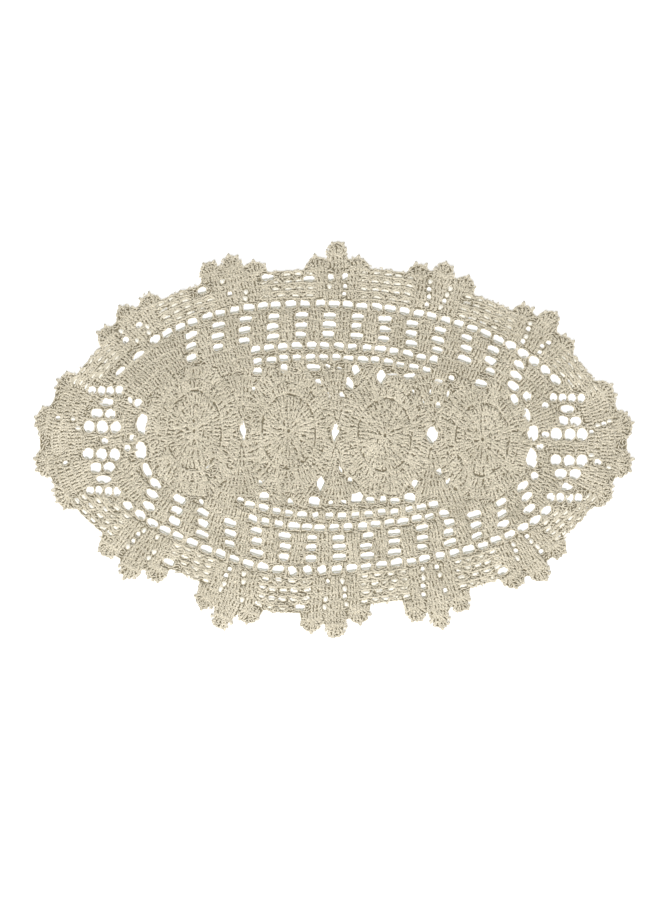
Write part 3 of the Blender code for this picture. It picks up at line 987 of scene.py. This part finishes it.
def work_fill():
    """Short loose strands wherever the rows have left the ground bare."""
    across, up = np.nonzero(~COVERED & (CLEARANCE > 0.9))
    order = chance.permutation(len(across))
    aside, ahead = disc_offsets(FILL_SPACING)
    part = np.linspace(-0.5, 0.5, 3)
    found = {"far": [], "near": []}
    for column, row in zip(across[order], up[order]):
        if COVERED[column, row]:
            continue
        COVERED[column + aside, row + ahead] = True
        x, y = column * GRID_STEP - GRID_EDGE, row * GRID_STEP - GRID_EDGE
        angle = math.atan2(x * SEAM_HALF_WIDTH**2, -y * SEAM_HALF_LENGTH**2)
        angle += chance.normal(0, 0.7)
        bow = chance.normal(0, 0.5) * (1 - 4 * part**2)
        path_x = x + FILL_LENGTH * part * math.cos(angle) - bow * math.sin(angle)
        path_y = y + FILL_LENGTH * part * math.sin(angle) + bow * math.cos(angle)
        height = chance.normal(FILL_HEIGHT, 0.15) + 0.3 * (1 - 4 * part**2)
        found[side_of(y)].append(np.stack([path_x, path_y, height], -1))
    for side, paths in found.items():
        add_strands(f"fill_{side}", paths, on_chart=False)


def evened(points, step):
    """A closed line with its points set at even steps."""
    closed = np.concatenate([points, points[:1]])
    lengths = lengths_along(closed)
    wanted = np.linspace(0, lengths[-1], round(lengths[-1] / step) + 1)[:-1]
    return np.stack([np.interp(wanted, lengths, closed[:, axis]) for axis in (0, 1)], 1)


def work_edge():
    """A twisted cord along the whole edge, and a picot on every second tooth of the petals."""
    edge = evened(grown(EDGE_LOOP, -EDGE_INSET), CORD_STEP)
    edge = edge + chance.normal(0, 0.2, edge.shape)
    strands = cord_strands(edge, EDGE_HEIGHT, closed=True, wide=EDGE_CORD_WIDTH)
    add_strands("edge_cord", strands, EDGE_STRAND, closed=True, on_chart=False)
    run = EDGE_LOOP - np.roll(EDGE_LOOP, 1, 0)
    after = np.roll(run, -1, 0)
    turn = np.cross(run, after) / np.linalg.norm(run, axis=1) / np.linalg.norm(after, axis=1)
    teeth = np.flatnonzero(turn > PICOT_TURN)[::2]
    tips, along = EDGE_LOOP[teeth], (run + after)[teeth]
    along /= np.linalg.norm(along, axis=1)[:, None]
    part = np.linspace(-1, 1, 7)[None]
    wide = chance.normal(PICOT_WIDTH, 0.1, (len(tips), 1))
    tall = chance.normal(PICOT_LENGTH, 0.35, (len(tips), 1))
    ahead = wide * np.sin(math.pi / 2 * part) * (1.2 - 0.5 * np.cos(math.pi / 2 * part))
    aside = 1.5 - tall * np.cos(math.pi / 2 * part) ** 0.7
    height = EDGE_HEIGHT + 0 * wide + 0.2 * part
    paths = local_paths(tips, along, np.stack([ahead, aside, height], -1))
    add_strands("picots", paths, PICOT_STRAND, on_chart=False)


def petals():
    """Each petal's place along the seam, its reach past the edge and its half width."""
    found = []
    for _, place, count, spread, first, middle, last, half_width, _ in PETAL_GROUPS:
        reaches = [first] + [middle] * (count - 2) + [last]
        for index, reach in enumerate(reaches):
            found.append((place + spread * (index / (count - 1) - 0.5), reach, half_width))
    return found


def chart_from_edge(place):
    """What turns lengths along the edge and out from it, at a place, into chart points."""
    middle = np.array(rounds(place, EDGE_LINE), float)
    along = unit_along(rounds, np.array([place]), EDGE_LINE, 0.5)[0]
    out = np.array([along[1], -along[0]])

    def chart(aside, ahead):
        x = middle[0] + along[0] * aside + out[0] * ahead
        return x, middle[1] + along[1] * aside + out[1] * ahead

    return chart


def petal_field(place, reach, half_width, foot):
    """The field of one petal: a turn from -1 to 1 across its fan, and its rings outward."""
    chart = chart_from_edge(place)

    def field(turn, ring):
        angle = turn * math.pi / 2
        power = 2 / PETAL_FULLNESS
        tip_aside = (half_width - 1.2) * np.sign(angle) * np.abs(np.sin(angle)) ** power
        tip_out = foot + (reach - 1.0 - foot) * np.abs(np.cos(angle)) ** power
        foot_aside = 2.6 * turn
        aside = foot_aside + (tip_aside - foot_aside) * ring
        return chart(aside, foot - 2.0 + (tip_out - foot + 2.0) * ring)

    return field


def petal_block(place, half_width, foot, rows):
    """The field under a tall petal's fan: straight rows up to the fan's foot."""
    chart = chart_from_edge(place)

    def field(turn, ring):
        return chart((half_width - 1.0) * turn, foot * ring / rows)

    return field


def inside_edge(x, y):
    """Which chart points lie well inside the outer edge."""
    across, up = grid_cells(*laid(x, y))
    return INSIDE_EDGE[across, up]


def work_petals():
    """A fan of stitches in each petal, above straight rows where the petal is tall."""
    for place, reach, half_width in petals():
        foot = max(0.0, reach - 9.5)
        fan = petal_field(place, reach, half_width, foot)
        work_row("petals", fan, 0, -0.95, 0.95, inside_edge)
        rows = math.ceil(foot / ROW_HEIGHT)
        if rows:
            block = petal_block(place, half_width, foot, rows)
            for row in range(rows):
                work_row("petals", block, row, -1, 1, inside_edge)


# Finishes
ECRU_LIGHT = (0.83, 0.765, 0.62, 1.0)
ECRU_DEEP = (0.46, 0.415, 0.31, 1.0)
# Painted shade: the darker grey ecru of the low strands under the near side of the gaps
PAINTED_SHADE_ECRU = (0.46, 0.45, 0.37, 1.0)
# Painted bounce light: the pale cream of the flat strands under the openings
PAINTED_BOUNCE_LIGHT = (0.92, 0.89, 0.79, 1.0)
# Painted shade: the dark ecru of the ground sheet seen in the pits between stitches
SHADED = (0.22, 0.19, 0.125, 1.0)
WHITE = (1.0, 1.0, 1.0, 1.0)
FLOOR_WHITE = (0.93, 0.93, 0.93, 1.0)
FLOOR_GLOW = 0.36
SKY_STRENGTH = 0.55


def set_inputs(shader, values):
    for name, value in values.items():
        shader.inputs[name].default_value = value


def node(tree, kind, values=None, **settings):
    """A new node with its settings, and the constant values of its inputs."""
    added = tree.nodes.new(kind)
    for name, value in settings.items():
        setattr(added, name, value)
    set_inputs(added, values or {})
    return added


def cotton(name, light, deep, strength):
    """Matt cotton: cloudy ecru, fine fibre, and the slant of the yarn's twist."""
    material = bpy.data.materials.new(name)
    material.use_nodes = True
    tree = material.node_tree
    surface = tree.nodes["Principled BSDF"]
    set_inputs(surface, {"Roughness": 0.88, "Specular IOR Level": 0.25})
    set_inputs(surface, {"Sheen Weight": 0.15, "Sheen Roughness": 0.5})
    place = node(tree, "ShaderNodeTexCoord")
    cloud = node(tree, "ShaderNodeTexNoise", {"Scale": 45.0, "Detail": 3.0})
    fleck = node(tree, "ShaderNodeTexNoise", {"Scale": 1100.0, "Detail": 3.0})
    both = node(tree, "ShaderNodeMath", {1: 0.3}, operation="MULTIPLY_ADD")
    spread = node(tree, "ShaderNodeMapRange", {"From Min": 0.48, "From Max": 0.82})
    ramp = node(tree, "ShaderNodeMix", data_type="RGBA")
    set_inputs(ramp, {"A": deep, "B": light})
    yarn = node(tree, "ShaderNodeUVMap", uv_map="yarn")
    slant = node(tree, "ShaderNodeVectorMath", {1: (1.1, 2.0, 0.0)}, operation="MULTIPLY")
    ply = node(tree, "ShaderNodeTexWave", wave_type="BANDS", bands_direction="DIAGONAL")
    set_inputs(ply, {"Scale": 0.5})
    bump = node(tree, "ShaderNodeBump", {"Strength": strength, "Distance": 0.0002})
    for source, target in (
        (place.outputs["Object"], cloud.inputs["Vector"]),
        (place.outputs["Object"], fleck.inputs["Vector"]),
        (cloud.outputs["Fac"], both.inputs[0]),
        (fleck.outputs["Fac"], both.inputs[2]),
        (both.outputs[0], spread.inputs["Value"]),
        (spread.outputs["Result"], ramp.inputs["Factor"]),
        (ramp.outputs["Result"], surface.inputs["Base Color"]),
        (yarn.outputs["UV"], slant.inputs[0]),
        (slant.outputs["Vector"], ply.inputs["Vector"]),
        (ply.outputs["Fac"], bump.inputs["Height"]),
        (bump.outputs["Normal"], surface.inputs["Normal"]),
    ):
        tree.links.new(source, target)
    return material


def build_piece(name, parts, material):
    """One mesh object of all the strands gathered under a name."""
    points, faces, corners, shift = [], [], [], 0
    for part_points, part_faces, part_uv in parts:
        points.append(part_points * MM)
        faces.append(part_faces + shift)
        corners.append(part_uv)
        shift += len(part_points)
    points, faces, corners = np.concatenate(points), np.concatenate(faces), np.concatenate(corners)
    mesh = bpy.data.meshes.new(name)
    mesh.vertices.add(len(points))
    mesh.vertices.foreach_set("co", points.ravel())
    mesh.loops.add(faces.size)
    mesh.loops.foreach_set("vertex_index", faces.astype(np.int32).ravel())
    mesh.polygons.add(len(faces))
    mesh.polygons.foreach_set("loop_start", np.arange(0, faces.size, 4, dtype=np.int32))
    mesh.update(calc_edges=True)
    mesh.polygons.foreach_set("use_smooth", np.ones(len(faces), bool))
    mesh.uv_layers.new(name="yarn").data.foreach_set("uv", corners.astype(np.float32).ravel())
    mesh.materials.append(material)
    piece = bpy.data.objects.new(name, mesh)
    bpy.context.scene.collection.objects.link(piece)
    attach(piece, "root")
    return piece


def build_ground(material):
    """The thin sheet that stands for the back strands, coloured with painted shade so that the pits
    between stitches show dark.
    """
    curve = bpy.data.curves.new("ground", "CURVE")
    curve.dimensions = "2D"
    curve.fill_mode = "BOTH"
    curve.extrude = GROUND_THICKNESS / 2 * MM
    loops = [grown(EDGE_LOOP, -GROUND_INSET)[::-1]]
    loops += [grown(chaikin(corners, 1), GROUND_GAP_GROW) for corners in GAP_CORNERS]
    loops += [chaikin(corners, 1) for corners in SMALL_CORNERS]
    for loop in loops:
        spline = curve.splines.new("POLY")
        spline.points.add(len(loop) - 1)
        for point, (x, y) in zip(spline.points, loop * MM):
            point.co = (x, y, 0.0, 1.0)
        spline.use_cyclic_u = True
    shaped = bpy.data.objects.new("ground_shape", curve)
    bpy.context.scene.collection.objects.link(shaped)
    bpy.context.view_layer.update()
    mesh = bpy.data.meshes.new_from_object(shaped)
    bpy.data.objects.remove(shaped, do_unlink=True)
    mesh.materials.clear()
    mesh.materials.append(material)
    for vertex in mesh.vertices:
        vertex.co.z += GROUND_HEIGHT * MM
    ground = bpy.data.objects.new("ground_web", mesh)
    bpy.context.scene.collection.objects.link(ground)
    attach(ground, "root")
    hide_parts("doily")
    return ground


def build_doily():
    work_rounds()
    work_medallions()
    work_fans()
    work_border()
    work_petals()
    work_gap_rims()
    work_edge()
    work_fill()
    yarn = cotton("ecru yarn", ECRU_LIGHT, ECRU_DEEP, 0.5)
    shade = cotton("ecru yarn in shade", PAINTED_SHADE_ECRU, PAINTED_SHADE_ECRU, 0.5)
    pale = cotton("ecru yarn with painted bounce light", PAINTED_BOUNCE_LIGHT, PAINTED_BOUNCE_LIGHT, 0.3)
    for name, parts in sorted(PIECES.items()):
        # Shaded strands take the painted shade, pale strands the painted bounce light
        material = {"shaded": shade, "pale": pale}.get(name.split("_")[0], yarn)
        build_piece(name, parts, material)
    ground = build_ground(cotton("shaded ecru", SHADED, SHADED, 0.2))


def build_floor():
    mesh = bpy.data.meshes.new("floor")
    reach = 3.0
    corners = [(-reach, -reach, 0), (reach, -reach, 0), (reach, reach, 0), (-reach, reach, 0)]
    mesh.from_pydata(corners, [], [(0, 1, 2, 3)])
    material = bpy.data.materials.new("floor white")
    material.use_nodes = True
    surface = material.node_tree.nodes["Principled BSDF"]
    set_inputs(surface, {"Base Color": FLOOR_WHITE, "Roughness": 0.9, "Specular IOR Level": 0.0})
    set_inputs(surface, {"Emission Color": WHITE, "Emission Strength": FLOOR_GLOW})
    mesh.materials.append(material)
    floor = bpy.data.objects.new("floor", mesh)
    bpy.context.scene.collection.objects.link(floor)


def build_lights():
    world = bpy.data.worlds.new("studio")
    world.use_nodes = True
    set_inputs(world.node_tree.nodes["Background"], {"Color": WHITE, "Strength": SKY_STRENGTH})
    bpy.context.scene.world = world
    for name, place, size, power in (
        ("key light", (-0.3, -1.3, 1.35), 0.5, 34.0),
        ("fill light", (0.8, 1.1, 1.6), 1.6, 6.0),
    ):
        light = bpy.data.lights.new(name, "AREA")
        light.size = size
        light.energy = power
        lamp = bpy.data.objects.new(name, light)
        lamp.location = place
        aim = -lamp.location
        lamp.rotation_euler = aim.to_track_quat("-Z", "Y").to_euler()
        bpy.context.scene.collection.objects.link(lamp)


def build_camera():
    """Straight above the doily, with the photograph's frame."""
    height = 1.6
    view_long_side = 0.684
    camera = bpy.data.cameras.new("camera")
    camera.sensor_fit = "AUTO"
    camera.sensor_width = 36.0
    camera.lens = 36.0 * height / view_long_side
    eye = bpy.data.objects.new("camera", camera)
    eye.location = (-0.00266, -0.00789, height)
    bpy.context.scene.collection.objects.link(eye)
    bpy.context.scene.camera = eye
    bpy.context.scene.view_settings.view_transform = "Standard"


build_camera()
build_lights()
build_floor()
build_doily()

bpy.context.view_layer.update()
